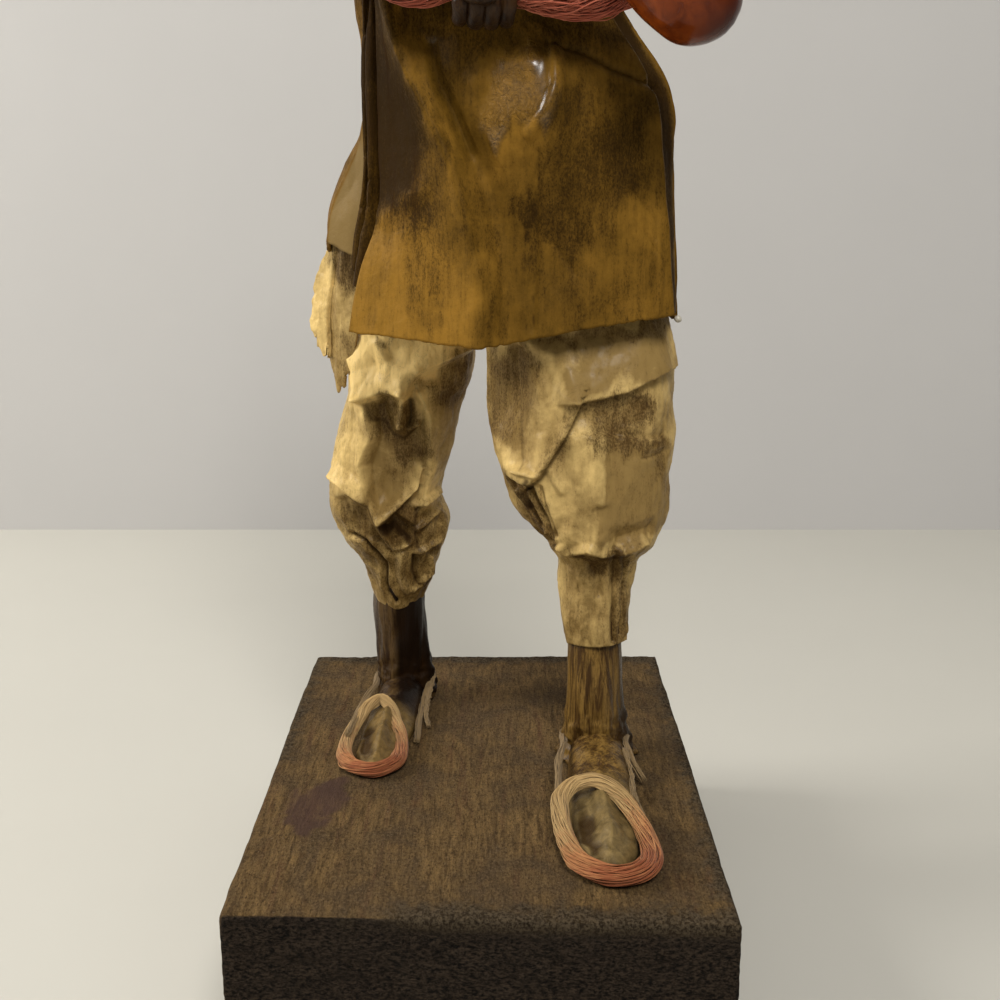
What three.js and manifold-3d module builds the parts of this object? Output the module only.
// A papier-mache figure of a striding man on a sawn wooden block.
//
// Units are millimetres, +Z is up and the man faces -Y, so his right side is at -X.
// The origin is the centre of the block's underside, where the figure stands on its shelf.
// Every piece is its own mesh, and neighbours keep a clearance of FIT all round.

import * as THREE from "three";
import { mergeVertices } from "three/addons/utils/BufferGeometryUtils.js";
import Module from "manifold-3d";

const wasm = await Module();
wasm.setup();

// ---------------------------------------------------------------- driving dimensions

const FIT = 0.35; // clearance between neighbouring pieces
const PAPER = 1.0; // stiff lacquered paper, several sheets pasted together

const BLOCK = { width: 90.6, depth: 124.8, height: 38, skew: 3.2, bevel: 1.2 };
const FLOOR = BLOCK.height + FIT; // what stands on the block starts here

// Each station is a level section: height z, centre (x, y), half-width a and half-depth b.
const LEFT_SHIN = [
  { z: 41, x: 25.4, y: 4.5, a: 7.2, b: 7.4 },
  { z: 45, x: 24.9, y: 4.2, a: 6.6, b: 6.8 },
  { z: 51, x: 24.5, y: 4, a: 6, b: 6.2 },
  { z: 62, x: 24.2, y: 4.4, a: 5.6, b: 5.8 },
  { z: 72, x: 24.3, y: 5, a: 5.2, b: 5.4 },
];
const RIGHT_SHIN = [
  { z: 41, x: -19.3, y: 37, a: 6.8, b: 7.4 },
  { z: 45, x: -19.4, y: 36.8, a: 6.4, b: 6.6 },
  { z: 51, x: -19.9, y: 36, a: 6.2, b: 6.2 },
  { z: 62, x: -20.4, y: 35, a: 6.2, b: 6 },
  { z: 72, x: -20.4, y: 34, a: 5, b: 5 },
];

const LEFT_TROUSER = [
  { z: 65.5, x: 24.6, y: 4.6, a: 6.8, b: 7 },
  { z: 75, x: 24.3, y: 5.2, a: 7.4, b: 7.4 },
  { z: 82, x: 24.4, y: 5.8, a: 8, b: 8.4 },
  { z: 85.5, x: 25, y: 6.2, a: 10.8, b: 10.4 },
  { z: 91.5, x: 22.8, y: 6.8, a: 15.4, b: 13 },
  { z: 99.5, x: 22.1, y: 7.6, a: 17.4, b: 14.4 },
  { z: 110, x: 21, y: 8.6, a: 18.9, b: 15 },
  { z: 131, x: 20.3, y: 10.6, a: 18.8, b: 15 },
  { z: 140, x: 18, y: 12.4, a: 17, b: 15 },
  { z: 152, x: 14, y: 15, a: 14, b: 14 },
];
const RIGHT_TROUSER = [
  { z: 63.5, x: -20.4, y: 34.6, a: 5.9, b: 6.2 },
  { z: 70, x: -20.1, y: 33.6, a: 7.8, b: 7.6 },
  { z: 75, x: -20.2, y: 32.8, a: 9.2, b: 9 },
  { z: 80, x: -21.2, y: 32, a: 11.8, b: 10.8 },
  { z: 85, x: -22.4, y: 31.4, a: 13.3, b: 12 },
  { z: 92, x: -23.3, y: 30.6, a: 13.2, b: 12.4 },
  { z: 103.5, x: -20.6, y: 29.4, a: 13.2, b: 12.8 },
  { z: 114, x: -18.2, y: 28.4, a: 13.6, b: 13 },
  { z: 131, x: -15.8, y: 26, a: 13.6, b: 13.4 },
  { z: 142, x: -12, y: 23, a: 13.6, b: 13.4 },
  { z: 152, x: -8, y: 20, a: 13, b: 13 },
];
const HIPS = [
  { z: 137, x: 3, y: 17.5, a: 22, b: 14 },
  { z: 150, x: 3, y: 17, a: 23, b: 16 },
  { z: 163, x: 3, y: 16, a: 21.5, b: 15.5 },
];

const TORSO = [
  { z: 163.5, x: 3, y: 16, a: 20.5, b: 14.5 },
  { z: 178, x: 2, y: 14, a: 20, b: 14 },
  { z: 200, x: 0.5, y: 12, a: 20, b: 14 },
  { z: 222, x: 0.5, y: 12, a: 22.5, b: 13.5 },
  { z: 236, x: 0.5, y: 12.5, a: 21, b: 11 },
  { z: 243, x: 0.5, y: 13, a: 14, b: 9 },
  { z: 247.5, x: 0.5, y: 12.5, a: 8.6, b: 8.2 },
  { z: 251, x: 0.5, y: 12, a: 8, b: 7.8 },
];

// Arms: the middle line of each sleeve from the shoulder to the wrist, with its radius.
const RIGHT_SLEEVE = [
  { at: [-16, 13, 237], r: 8 },
  { at: [-29, 15, 229], r: 8.4 },
  { at: [-35.6, 16, 213], r: 7.8 },
  { at: [-27, 3, 205.5], r: 6.9 },
  { at: [-14.5, -11, 201.5], r: 6.2 },
  { at: [-10.6, -14.6, 200.2], r: 6 },
];
const LEFT_SLEEVE = [
  { at: [17, 13, 237], r: 8 },
  { at: [30, 15, 229], r: 8.4 },
  { at: [36.2, 15, 214], r: 7.8 },
  { at: [31, 2, 210], r: 6.9 },
  { at: [22, -11, 208.6], r: 6.2 },
  { at: [18.8, -14.4, 208.2], r: 6 },
];
const RIGHT_FIST = { centre: [-1.4, -19.8, 196], wrist: [-10.4, -14.4, 200.2], grip: [1, 0.08, -0.05] };
const LEFT_FIST = { centre: [12.4, -21.6, 206.6], wrist: [19.6, -13.6, 208.3], grip: [0.82, -0.12, -0.56] };
const FIST = { reach: 6.2, span: 10.4, finger: 1.9, wrist: 4.3 };

// The hank of thread across the belly, and the lacquered gourd held by its neck.
const HANK = [
  { at: [-20.5, -16.5, 197.5], r: 2.6 },
  { at: [-16.5, -18, 195.6], r: 3.6 },
  { at: [-10.5, -19, 194.8], r: 4 },
  { at: [-1.4, -19.8, 196], r: 3.3 },
  { at: [5.4, -20.4, 195], r: 3.9 },
  { at: [11, -20.4, 193.6], r: 4.4 },
  { at: [18, -20.2, 192.8], r: 4.6 },
  { at: [24.5, -19.4, 193.6], r: 4 },
  { at: [29.5, -18.4, 194.6], r: 2.6 },
];
const GOURD = { bulb: [35.7, -27.6, 191.4], stem: [4.2, -20.2, 212.9], radius: 8.4, neck: 2.7, stemRadius: 1.7 };

// Folded sheets: each line is one fold, from the hem up to the shoulder, as points [x, y, z].
const FRONT_FOLDS = {
  rightEdge: [[-26.3, -2, 131.2], [-24, 2.5, 178], [-24.6, 4.5, 196], [-24.5, 10, 242.5]],
  greatRidge: [[2, -14.2, 130.4], [-17.4, -11, 196], [-20, -5, 222], [-18, 11, 246.4]],
  hollow: [[13.5, -11, 131.6], [-4.5, -11.2, 196], [-7, -7.6, 222], [-9.4, 4.4, 245.6]],
  middleRidge: [[24, -10.6, 133.2], [11.6, -14, 180], [6, -12.6, 196], [0.6, -6.5, 235]],
  leftHollow: [[31, -8.2, 134.8], [19.5, -9.6, 196], [15, -7.2, 222], [10.6, 4.4, 245.6]],
  leftCorner: [[36.6, -5, 136], [32.6, -3.6, 178], [24.2, -2, 196], [19, 11, 246.4]],
  leftEdge: [[38, 2.4, 136.2], [35.6, 4.6, 178], [26.6, 5.4, 196], [25.5, 10, 242.5]],
};
const BACK_FOLDS = {
  rightEdge: [[-33, 18, 144], [-32.4, 16.5, 155], [-23.4, 10.5, 177], [-25.6, 10, 197], [-24.8, 15, 242.5]],
  rightCorner: [[-31, 40, 141.5], [-24, 30, 180], [-24, 26, 222], [-18, 15.4, 246.4]],
  backRidge: [[-9, 48.5, 140], [-7, 36, 190], [-8, 31, 222], [-9.4, 19.2, 245.6]],
  backHollow: [[11, 45, 138.5], [8, 33, 190], [9, 30.5, 222], [10.6, 19.2, 245.6]],
  leftCorner: [[35, 38, 135.5], [29, 31, 178], [24, 26, 222], [19, 15.4, 246.4]],
  leftEdge: [[41, 14, 133.2], [39, 13, 178], [28, 12.4, 197], [25.8, 15, 242.5]],
};
const HIP_FLAP = {
  inner: [[-31.3, 18.8, 117.5], [-30.4, 18.6, 138], [-29.2, 20.4, 147.5]],
  middle: [[-34.4, 22, 122.5], [-33, 21.6, 138], [-31.5, 22.4, 147]],
  outer: [[-38.4, 25, 128.6], [-36.6, 24, 141], [-34, 24, 146]],
};

const HEAD = { x: 0.5, y: 10.2, z: 269.6, halfWidth: 12, halfDepth: 13.6, halfHeight: 17 };
const HAIR = 1.6; // thickness of the thread hair over the scalp

// ---------------------------------------------------------------- shape tools

/** A closed surface through equal rings of points. Open ends are capped with a fan. */
function loft(rings, closed = false) {
  const n = rings[0].length;
  const points = rings.flat();
  const index = [];
  const rows = closed ? rings.length : rings.length - 1;
  for (let i = 0; i < rows; i++) {
    const lower = i * n;
    const upper = ((i + 1) % rings.length) * n;
    for (let j = 0; j < n; j++) {
      const k = (j + 1) % n;
      index.push(lower + j, lower + k, upper + k, lower + j, upper + k, upper + j);
    }
  }
  if (!closed) {
    const last = (rings.length - 1) * n;
    const first = points.push(middleOf(rings[0])) - 1;
    const top = points.push(middleOf(rings.at(-1))) - 1;
    for (let j = 0; j < n; j++) {
      const k = (j + 1) % n;
      index.push(first, k, j, top, last + j, last + k);
    }
  }
  return facingOut(points, index);
}

function middleOf(ring) {
  return ring.reduce((sum, p) => sum.add(p), new THREE.Vector3()).divideScalar(ring.length);
}

/** Builds the geometry, and turns its faces round if they enclose a negative volume. */
function facingOut(points, index) {
  let volume = 0;
  const cross = new THREE.Vector3();
  for (let i = 0; i < index.length; i += 3) {
    const [a, b, c] = [points[index[i]], points[index[i + 1]], points[index[i + 2]]];
    volume += a.dot(cross.crossVectors(b, c));
  }
  const geometry = new THREE.BufferGeometry().setFromPoints(points);
  geometry.setIndex(volume < 0 ? index.reverse() : index);
  return geometry;
}

/** Value of every key of a station table at one height, straight between stations. */
function sectionAt(stations, z) {
  const upper = Math.max(1, stations.findIndex((s) => s.z >= z));
  const [low, high] = [stations[upper - 1], stations[upper]];
  const t = (z - low.z) / (high.z - low.z);
  return Object.fromEntries(Object.keys(low).map((key) => [key, THREE.MathUtils.lerp(low[key], high[key], t)]));
}

/** A limb or trunk as level sections. relief(angle, z) adds folds to the section's radius. */
function body(stations, { sides = 18, step = 6, grow = 0, relief = () => 0 } = {}) {
  const bottom = stations[0].z;
  const top = stations.at(-1).z;
  const count = Math.max(2, Math.round((top - bottom) / step));
  const rings = Array.from({ length: count + 1 }, (_, i) => {
    const z = THREE.MathUtils.lerp(bottom, top, i / count);
    const s = sectionAt(stations, z);
    return Array.from({ length: sides }, (_, j) => {
      const angle = (j / sides) * 2 * Math.PI;
      const extra = grow + relief(angle, z);
      return new THREE.Vector3(s.x + (s.a + extra) * Math.sin(angle), s.y - (s.b + extra) * Math.cos(angle), z);
    });
  });
  return loft(rings);
}

/** A round bar along a smooth line through knots { at, r }. flat < 1 presses it flatter in height. */
function bar(knots, { sides = 10, steps = 24, closed = false, grow = 0, flat = 1 } = {}) {
  const curve = new THREE.CatmullRomCurve3(knots.map((k) => new THREE.Vector3(...k.at)), closed, "centripetal");
  const radii = new THREE.CatmullRomCurve3(knots.map((k) => new THREE.Vector3(k.r, 0, 0)), closed, "catmullrom", 0);
  const count = closed ? steps : steps + 1;
  const up = new THREE.Vector3(0, 0, 1);
  const side = new THREE.Vector3().crossVectors(curve.getTangent(0), up);
  const rings = Array.from({ length: count }, (_, i) => {
    const t = i / steps;
    const centre = curve.getPoint(t);
    const along = curve.getTangent(t);
    if (closed) side.crossVectors(along, up);
    side.projectOnPlane(along).normalize(); // an open bar carries its section along without a twist
    const lift = new THREE.Vector3().crossVectors(side, along);
    const r = radii.getPoint(t).x + grow;
    return Array.from({ length: sides }, (_, j) => {
      const angle = (j / sides) * 2 * Math.PI;
      return centre
        .clone()
        .addScaledVector(side, r * Math.cos(angle))
        .addScaledVector(lift, r * flat * Math.sin(angle));
    });
  });
  return loft(rings, closed);
}

/** A ball of three half-axes, as level rings between two small poles, turned to point along a direction. */
function ball(centre, radii, { sides = 12, rings = 8, along = null } = {}) {
  const tiny = 0.04;
  const rows = Array.from({ length: rings + 1 }, (_, i) => {
    const polar = THREE.MathUtils.lerp(tiny, Math.PI - tiny, i / rings);
    return Array.from({ length: sides }, (_, j) => {
      const angle = (j / sides) * 2 * Math.PI;
      return new THREE.Vector3(
        radii[0] * Math.sin(polar) * Math.cos(angle),
        radii[1] * Math.sin(polar) * Math.sin(angle),
        radii[2] * Math.cos(polar),
      );
    });
  });
  const geometry = loft(rows);
  if (along) {
    const turn = new THREE.Quaternion().setFromUnitVectors(
      new THREE.Vector3(0, 0, 1),
      new THREE.Vector3(...along).normalize(),
    );
    geometry.applyQuaternion(turn);
  }
  return geometry.translate(...centre);
}

/** Point on a fold line at share v of its height, straight between its points. */
function onFold(line, v) {
  const z = THREE.MathUtils.lerp(line[0][2], line.at(-1)[2], v);
  const upper = Math.max(1, line.findIndex((p) => p[2] >= z - 1e-9));
  const [low, high] = [line[upper - 1], line[upper]];
  return new THREE.Vector3(...low).lerp(new THREE.Vector3(...high), (z - low[2]) / (high[2] - low[2]));
}

/** A sheet of stiff paper hung on its fold lines, flat between neighbouring folds. grow swells it all round. */
function foldedSheet(folds, { rows = 7, between = 2, thickness = PAPER, grow = 0 } = {}) {
  const lines = Object.values(folds);
  const columns = (lines.length - 1) * between;
  const middle = Array.from({ length: rows + 1 }, (_, i) =>
    Array.from({ length: columns + 1 }, (_, j) => {
      const fold = Math.min(Math.floor(j / between), lines.length - 2);
      return onFold(lines[fold], i / rows).lerp(onFold(lines[fold + 1], i / rows), j / between - fold);
    }),
  );
  const across = (i, j) => middle[i][Math.min(j + 1, columns)].clone().sub(middle[i][Math.max(j - 1, 0)]);
  const up = (i, j) => middle[Math.min(i + 1, rows)][j].clone().sub(middle[Math.max(i - 1, 0)][j]);
  const outward = (i, j) => {
    const push = new THREE.Vector3();
    if (j === 0 || j === columns) push.addScaledVector(across(i, j).normalize(), j ? grow : -grow);
    if (i === 0 || i === rows) push.addScaledVector(up(i, j).normalize(), i ? grow : -grow);
    return push;
  };
  const face = (i, j, side) => {
    const normal = across(i, j).cross(up(i, j)).normalize();
    return middle[i][j].clone().addScaledVector(normal, side * (thickness / 2 + grow)).add(outward(i, j));
  };
  const rings = middle.map((row, i) => [
    ...row.map((_, j) => face(i, j, 1)),
    ...row.map((_, j) => face(i, j, -1)).reverse(),
  ]);
  return stripLoft(rings);
}

/** Like loft, for flat rings folded double: each end is closed by a strip between its two halves. */
function stripLoft(rings) {
  const n = rings[0].length;
  const points = rings.flat();
  const index = [];
  for (let i = 0; i < rings.length - 1; i++) {
    for (let j = 0; j < n; j++) {
      const k = (j + 1) % n;
      const [lower, upper] = [i * n, (i + 1) * n];
      index.push(lower + j, lower + k, upper + k, lower + j, upper + k, upper + j);
    }
  }
  const last = (rings.length - 1) * n;
  for (let j = 0; j < n / 2 - 1; j++) {
    const [a, b, c, d] = [j, j + 1, n - 2 - j, n - 1 - j];
    index.push(a, c, b, a, d, c);
    index.push(last + a, last + b, last + c, last + a, last + c, last + d);
  }
  return facingOut(points, index);
}

// ---------------------------------------------------------------- booleans

function solid(geometry) {
  const bare = new THREE.BufferGeometry();
  bare.setAttribute("position", geometry.getAttribute("position"));
  bare.setIndex(geometry.getIndex());
  const merged = mergeVertices(bare, 1e-4);
  return new wasm.Manifold(
    new wasm.Mesh({
      numProp: 3,
      vertProperties: new Float32Array(merged.getAttribute("position").array),
      triVerts: new Uint32Array(merged.getIndex().array),
    }),
  );
}

/** The largest body of a solid, as three.js geometry: slivers that a cut leaves behind are dropped. */
function geometryOf(manifold) {
  const largest = manifold.decompose().sort((a, b) => b.volume() - a.volume())[0];
  const mesh = largest.simplify(FIT / 4).getMesh();
  const positions = new Float32Array(mesh.numVert * 3);
  for (let i = 0; i < mesh.numVert; i++) {
    positions.set(mesh.vertProperties.subarray(i * mesh.numProp, i * mesh.numProp + 3), i * 3);
  }
  const geometry = new THREE.BufferGeometry();
  geometry.setAttribute("position", new THREE.BufferAttribute(positions, 3));
  geometry.setIndex(new THREE.BufferAttribute(new Uint32Array(mesh.triVerts), 1));
  return geometry;
}

const joined = (...geometries) => geometries.map(solid).reduce((sum, s) => sum.add(s));
const without = (whole, ...cutters) => cutters.reduce((rest, c) => rest.subtract(c), whole);

/** Everything below a level, as a cutter. */
function below(z) {
  const size = 400;
  return solid(new THREE.BoxGeometry(size, size, size).translate(0, 0, z - size / 2));
}

// ---------------------------------------------------------------- the block

/** A sawn block with broken edges, whose front end was cut a little out of square. */
function block() {
  const { width, depth, height, skew, bevel } = BLOCK;
  const ring = (z, inset) => {
    const [x, y] = [width / 2 - inset, depth / 2 - inset];
    const cut = bevel;
    return [
      [-x + cut, -y + skew], [x - cut, -y], [x, -y + cut], [x, y - cut],
      [x - cut, y], [-x + cut, y], [-x, y - cut], [-x, -y + cut + skew],
    ].map(([px, py]) => new THREE.Vector3(px, py, z));
  };
  return loft([ring(0, 0.6), ring(1, 0), ring(height - bevel, 0), ring(height, bevel * 0.7)]);
}

// ---------------------------------------------------------------- legs, feet and sandals

/** A bare foot as sections from heel to toe, flat below and domed above. */
function foot({ heel, toe, halfWidth, instep, toeHeight }, grow = 0) {
  const from = new THREE.Vector3(...heel, 0);
  const to = new THREE.Vector3(...toe, 0);
  const along = to.clone().sub(from).normalize();
  const side = new THREE.Vector3(along.y, -along.x, 0);
  const count = 10;
  const rings = Array.from({ length: count + 1 }, (_, i) => {
    const t = i / count;
    const centre = from.clone().lerp(to, t);
    const end = Math.min(1, 6 * Math.min(t + 0.06, 1.05 - t));
    const half = halfWidth * (0.72 + 0.28 * Math.sin(Math.PI * Math.min(1, 0.15 + t * 0.8))) * Math.sqrt(end) + grow;
    const high = THREE.MathUtils.lerp(instep, toeHeight, Math.min(1, t * 1.25)) * (0.45 + 0.55 * Math.sqrt(end)) + grow;
    return Array.from({ length: 12 }, (_, j) => {
      const angle = (j / 11) * Math.PI;
      const rise = j === 0 || j === 11 ? -grow : high * Math.sin(angle) ** 0.8;
      return centre.clone().addScaledVector(side, half * Math.cos(angle)).setZ(FLOOR + rise);
    });
  });
  return loft(rings);
}

const LEFT_FOOT = { heel: [26.2, 12], toe: [24.2, -47.5], halfWidth: 8.2, instep: 10, toeHeight: 3.4 };
const RIGHT_FOOT = { heel: [-18.8, 44.5], toe: [-24.4, -5.2], halfWidth: 7, instep: 9.4, toeHeight: 3.2 };

/** The thread loop of a sandal: round the toes on the block, and up over the instep. */
function sandalLoop({ heel, toe, halfWidth }, archHeight) {
  const from = new THREE.Vector3(...heel, 0);
  const to = new THREE.Vector3(...toe, 0);
  const place = (t, share, z) => {
    const along = to.clone().sub(from);
    const side = new THREE.Vector3(along.y, -along.x, 0).normalize();
    return from.clone().addScaledVector(along, t).addScaledVector(side, share * halfWidth).setZ(z).toArray();
  };
  const ground = FLOOR + 2.2;
  return [
    { at: place(0.985, 0, ground), r: 2.5 },
    { at: place(0.9, 0.86, ground), r: 2.6 },
    { at: place(0.72, 1.13, ground + 0.3), r: 2.4 },
    { at: place(0.54, 0.9, ground + 3.2), r: 2.1 },
    { at: place(0.42, 0.1, archHeight), r: 2 },
    { at: place(0.5, -0.72, ground + 4.6), r: 2 },
    { at: place(0.68, -1.12, ground + 0.4), r: 2.3 },
    { at: place(0.88, -0.92, ground), r: 2.6 },
  ];
}

/** The thinner thread from the loop back round the heel. */
function heelStrap({ heel, toe, halfWidth }) {
  const from = new THREE.Vector3(...heel, 0);
  const along = new THREE.Vector3(...toe, 0).sub(from);
  const side = new THREE.Vector3(along.y, -along.x, 0).normalize();
  const back = along.clone().normalize();
  const place = (t, share, z, beyond = 0) =>
    from
      .clone()
      .addScaledVector(along, t)
      .addScaledVector(side, share * halfWidth)
      .addScaledVector(back, -beyond)
      .setZ(z)
      .toArray();
  return [
    { at: place(0.6, 1.1, FLOOR + 3.4), r: 1.5 },
    { at: place(0.3, 1.24, FLOOR + 5.2), r: 1.4 },
    { at: place(0.06, 1.0, FLOOR + 6.6, 1), r: 1.3 },
    { at: place(0, 0, FLOOR + 7.2, 3.4), r: 1.3 },
    { at: place(0.06, -1.0, FLOOR + 6.6, 1), r: 1.3 },
    { at: place(0.3, -1.24, FLOOR + 5.2), r: 1.4 },
    { at: place(0.6, -1.1, FLOOR + 3.4), r: 1.5 },
  ];
}

/** A leg and foot in one, and the sandal threads that lie round them. */
function legAndSandal(shin, footShape, archHeight) {
  const limb = (grow) => joined(body(shin, { sides: 12, step: 8, grow }), foot(footShape, grow));
  const thread = joined(
    bar(sandalLoop(footShape, archHeight), { sides: 6, steps: 16, closed: true, flat: 0.95 }),
    bar(heelStrap(footShape), { sides: 5, steps: 10 }),
  );
  return {
    leg: without(limb(0), below(FLOOR)),
    sandal: without(thread, limb(FIT), below(FLOOR)),
  };
}

// ---------------------------------------------------------------- clothes

/** Crumpled paper: long soft pleats that wander round the leg, deepest where the leg is gathered. */
function crumple({ pleats, phase, depth, gatherAt }) {
  return (angle, z) => {
    const gathered = Math.exp(-(((z - gatherAt) / 14) ** 2));
    const slant = phase + z * 0.05;
    const ridge = Math.abs(Math.sin((pleats * (angle + slant)) / 2)) - 0.64;
    return depth * (0.45 + gathered) * ridge + 0.5 * Math.sin(z * 0.33 + 2 * angle + phase);
  };
}

function trousers() {
  const left = body(LEFT_TROUSER, {
    step: 5.6,
    relief: crumple({ pleats: 5, phase: 0.4, depth: 0.8, gatherAt: 88 }),
  });
  const right = body(RIGHT_TROUSER, {
    step: 5.6,
    relief: crumple({ pleats: 6, phase: 1.9, depth: 1.1, gatherAt: 84 }),
  });
  return joined(left, right, body(HIPS, { step: 13 }));
}

const shirtOf = (grow) =>
  joined(
    body(TORSO, { sides: 18, step: 10, grow }),
    bar(RIGHT_SLEEVE, { sides: 10, steps: 12, grow }),
    bar(LEFT_SLEEVE, { sides: 10, steps: 12, grow }),
  );

/** A closed fist: a palm, four fingers rolled round the grip line, a thumb and a wrist. */
function fist({ centre, wrist, grip }) {
  const middle = new THREE.Vector3(...centre);
  const root = new THREE.Vector3(...wrist);
  const axis = new THREE.Vector3(...grip).normalize();
  const back = root.clone().sub(middle).projectOnPlane(axis).normalize();
  const over = new THREE.Vector3().crossVectors(axis, back);
  const at = (a, b, c) =>
    middle.clone().addScaledVector(axis, a).addScaledVector(back, b).addScaledVector(over, c).toArray();
  const fingers = [-1.5, -0.5, 0.5, 1.5].map((k) => {
    const shift = (k * FIST.span) / 4;
    const round = (turn) => at(shift, FIST.reach * 0.82 * Math.cos(turn), FIST.reach * 0.82 * Math.sin(turn));
    const knots = [0.35, 1.2, 2.1, 3, 3.9, 4.8, 5.6].map((turn) => ({ at: round(turn), r: FIST.finger }));
    return bar(knots, { sides: 5, steps: 6 });
  });
  const palm = ball(at(0, FIST.reach * 0.7, 0), [FIST.span * 0.52, FIST.reach * 0.62, FIST.reach * 0.8], {
    along: over.toArray(),
    sides: 8,
    rings: 5,
  });
  const arm = bar(
    [
      { at: at(0, FIST.reach * 0.8, 0), r: FIST.wrist },
      { at: root.toArray(), r: FIST.wrist },
      { at: root.clone().addScaledVector(back, 2).toArray(), r: FIST.wrist * 0.95 },
    ],
    { sides: 8, steps: 2 },
  );
  return joined(palm, arm, ...fingers);
}

/** The gourd turned about its own line: a stem, a slim neck and a full bulb with a round end. */
function gourd(grow = 0) {
  const stem = new THREE.Vector3(...GOURD.stem);
  const bulb = new THREE.Vector3(...GOURD.bulb);
  const length = stem.distanceTo(bulb);
  const { radius, neck, stemRadius } = GOURD;
  const profile = new THREE.SplineCurve([
    new THREE.Vector2(stemRadius, 0),
    new THREE.Vector2(neck, length * 0.12),
    new THREE.Vector2(neck * 0.96, length * 0.36),
    new THREE.Vector2(neck * 1.5, length * 0.58),
    new THREE.Vector2(radius * 0.86, length * 0.84),
    new THREE.Vector2(radius, length),
    new THREE.Vector2(radius * 0.84, length + radius * 0.56),
    new THREE.Vector2(radius * 0.3, length + radius * 0.97),
  ]).getPoints(12);
  const outline = [
    new THREE.Vector2(0, -grow),
    ...profile.map((p) => new THREE.Vector2(p.x + grow, p.y)),
    new THREE.Vector2(0, length + radius + grow),
  ];
  const turned = new THREE.LatheGeometry(outline, 14);
  const line = bulb.clone().sub(stem).normalize();
  turned.applyQuaternion(new THREE.Quaternion().setFromUnitVectors(new THREE.Vector3(0, 1, 0), line));
  turned.translate(...GOURD.stem);
  return turned;
}

/** LatheGeometry repeats its seam, so the seam is merged and its winding is checked. */
function latheSolid(geometry) {
  const bare = new THREE.BufferGeometry();
  bare.setAttribute("position", geometry.getAttribute("position"));
  bare.setIndex(geometry.getIndex());
  const merged = mergeVertices(bare, 1e-3);
  const position = merged.getAttribute("position");
  const points = Array.from({ length: position.count }, (_, i) => new THREE.Vector3().fromBufferAttribute(position, i));
  const index = [...merged.getIndex().array];
  const kept = [];
  for (let i = 0; i < index.length; i += 3) {
    const [a, b, c] = index.slice(i, i + 3);
    if (a !== b && b !== c && a !== c) kept.push(a, b, c);
  }
  return solid(facingOut(points, kept));
}

// ---------------------------------------------------------------- head

/** A calm, plain head: an egg with a brow, eye hollows, a nose, lips, a chin and ears. */
function headShape(grow = 0, sides = 22, rows = 14) {
  const bump = (u, v, cu, cv, su, sv) => Math.exp(-(((u - cu) / su) ** 2) - ((v - cv) / sv) ** 2);
  const tiny = 0.05;
  const rings = Array.from({ length: rows + 1 }, (_, i) => {
    const polar = THREE.MathUtils.lerp(tiny, Math.PI - tiny, i / rows);
    const v = -Math.cos(polar); // -1 below the chin, 1 at the crown
    return Array.from({ length: sides }, (_, j) => {
      const u = ((j / sides) * 2 - 1) * Math.PI; // 0 faces forward
      const jaw = v < 0 ? 1 - 0.3 * v * v : 1;
      const x = HEAD.halfWidth * Math.sin(polar) * Math.sin(u) * jaw;
      const y = -HEAD.halfDepth * Math.sin(polar) * Math.cos(u);
      const z = HEAD.halfHeight * v;
      const across = x / HEAD.halfWidth;
      const facing = Math.cos(u) > 0 ? 1 : 0;
      const forward =
        2.9 * bump(across, v, 0, -0.16, 0.17, 0.2) +
        0.7 * bump(across, v, 0, 0.22, 0.7, 0.1) -
        1.1 * (bump(across, v, 0.36, 0.06, 0.2, 0.1) + bump(across, v, -0.36, 0.06, 0.2, 0.1)) +
        0.9 * bump(across, v, 0, -0.52, 0.26, 0.09) +
        1.5 * bump(across, v, 0, -0.82, 0.3, 0.14);
      const ear = 1.7 * bump(Math.abs(u), v, 1.62, -0.02, 0.16, 0.2);
      const out = 1 + grow / HEAD.halfWidth;
      return new THREE.Vector3(
        HEAD.x + (x + Math.sign(x) * ear) * out,
        HEAD.y + (y - facing * forward) * out,
        HEAD.z + z * out,
      );
    });
  });
  return loft(rings);
}

const NECK = [
  { at: [0.5, 13.2, 246], r: 6.8 },
  { at: [0.5, 12.8, 251], r: 6.4 },
  { at: [0.5, 12, 262], r: 6.8 },
];

const headAndNeck = (grow) => joined(headShape(grow), bar(NECK, { sides: 12, steps: 3, grow }));

/** Thread hair: a cap over the crown and the back of the head, down to the nape. */
function hair() {
  const cap = solid(headShape(HAIR, 16, 10));
  const face = new THREE.BoxGeometry(60, 40, 60).rotateX(0.62).translate(HEAD.x, HEAD.y - 18, HEAD.z - 20);
  return without(cap, solid(face), below(HEAD.z - 7), headAndNeck(FIT));
}

// ---------------------------------------------------------------- assembly

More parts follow.
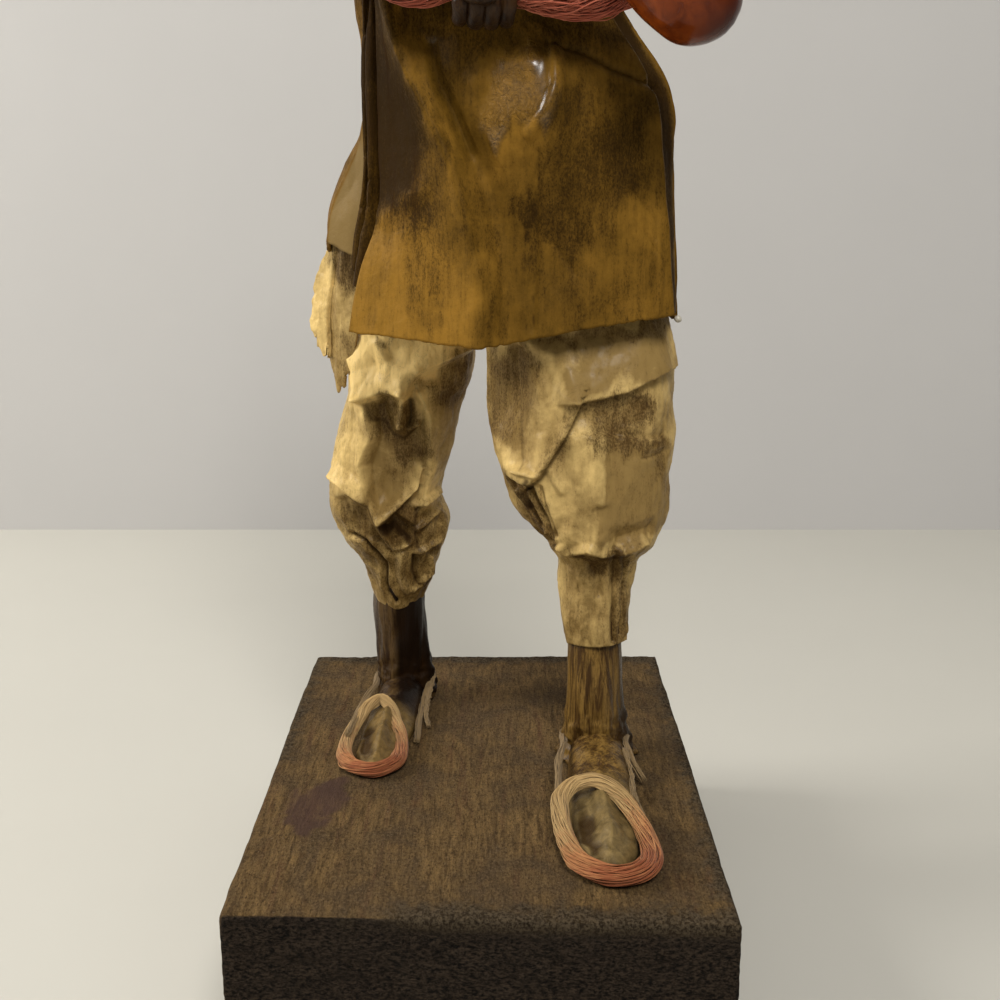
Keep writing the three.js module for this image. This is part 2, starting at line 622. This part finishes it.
const MATERIALS = {
  wood: { color: 0x5a4632, roughness: 0.9 },
  skin: { color: 0x3a2413, roughness: 0.45 },
  thread: { color: 0xc98c60, roughness: 0.85 },
  creamPaper: { color: 0xc7ad77, roughness: 0.5 },
  lacqueredPaper: { color: 0x8a6428, roughness: 0.35 },
  pinkThread: { color: 0xb0605a, roughness: 0.85 },
  hair: { color: 0x1c1512, roughness: 0.7 },
  gourd: { color: 0x7c2410, roughness: 0.2 },
};
const finishes = Object.fromEntries(
  Object.entries(MATERIALS).map(([name, look]) => [name, new THREE.MeshStandardMaterial({ ...look, metalness: 0 })]),
);

const figure = new THREE.Group();

function place(name, shape, finish) {
  const mesh = new THREE.Mesh(shape.isBufferGeometry ? shape : geometryOf(shape), finishes[finish]);
  mesh.name = name;
  figure.add(mesh);
}

const leftLeg = legAndSandal(LEFT_SHIN, LEFT_FOOT, 50.4);
const rightLeg = legAndSandal(RIGHT_SHIN, RIGHT_FOOT, 49.6);
const shinPockets = [LEFT_SHIN, RIGHT_SHIN].map((shin) => solid(body(shin, { sides: 12, step: 8, grow: FIT })));
const frontSheet = (grow) => solid(foldedSheet(FRONT_FOLDS, { grow }));
const backSheet = (grow) => solid(foldedSheet(BACK_FOLDS, { grow }));
const flapSheet = (grow) => solid(foldedSheet(HIP_FLAP, { rows: 6, between: 3, thickness: PAPER * 0.8, grow }));
const hank = (grow) => solid(bar(HANK, { sides: 10, steps: 18, grow }));
const grownShirt = shirtOf(FIT);

place("base_block", block(), "wood");
place("left_leg", leftLeg.leg, "skin");
place("right_leg", rightLeg.leg, "skin");
place("left_sandal_thread", leftLeg.sandal, "thread");
place("right_sandal_thread", rightLeg.sandal, "thread");
place(
  "trousers",
  without(trousers(), ...shinPockets, frontSheet(FIT), backSheet(FIT), flapSheet(FIT)),
  "creamPaper",
);
place("hip_flap", without(flapSheet(0), backSheet(FIT)), "creamPaper");
place("tunic_front", without(frontSheet(0), grownShirt, hank(FIT)), "lacqueredPaper");
place("tunic_back", without(backSheet(0), grownShirt, frontSheet(FIT)), "lacqueredPaper");
place("shirt", without(shirtOf(0), headAndNeck(FIT)), "creamPaper");
place("right_hand", without(fist(RIGHT_FIST), grownShirt, frontSheet(FIT), hank(FIT)), "skin");
place("left_hand", without(fist(LEFT_FIST), grownShirt, frontSheet(FIT), latheSolid(gourd(FIT))), "skin");
place("head", headAndNeck(0), "skin");
place("hair", hair(), "hair");
place("thread_hank", without(hank(0), grownShirt, latheSolid(gourd(FIT))), "pinkThread");
place("gourd", latheSolid(gourd()), "gourd");

export default figure;
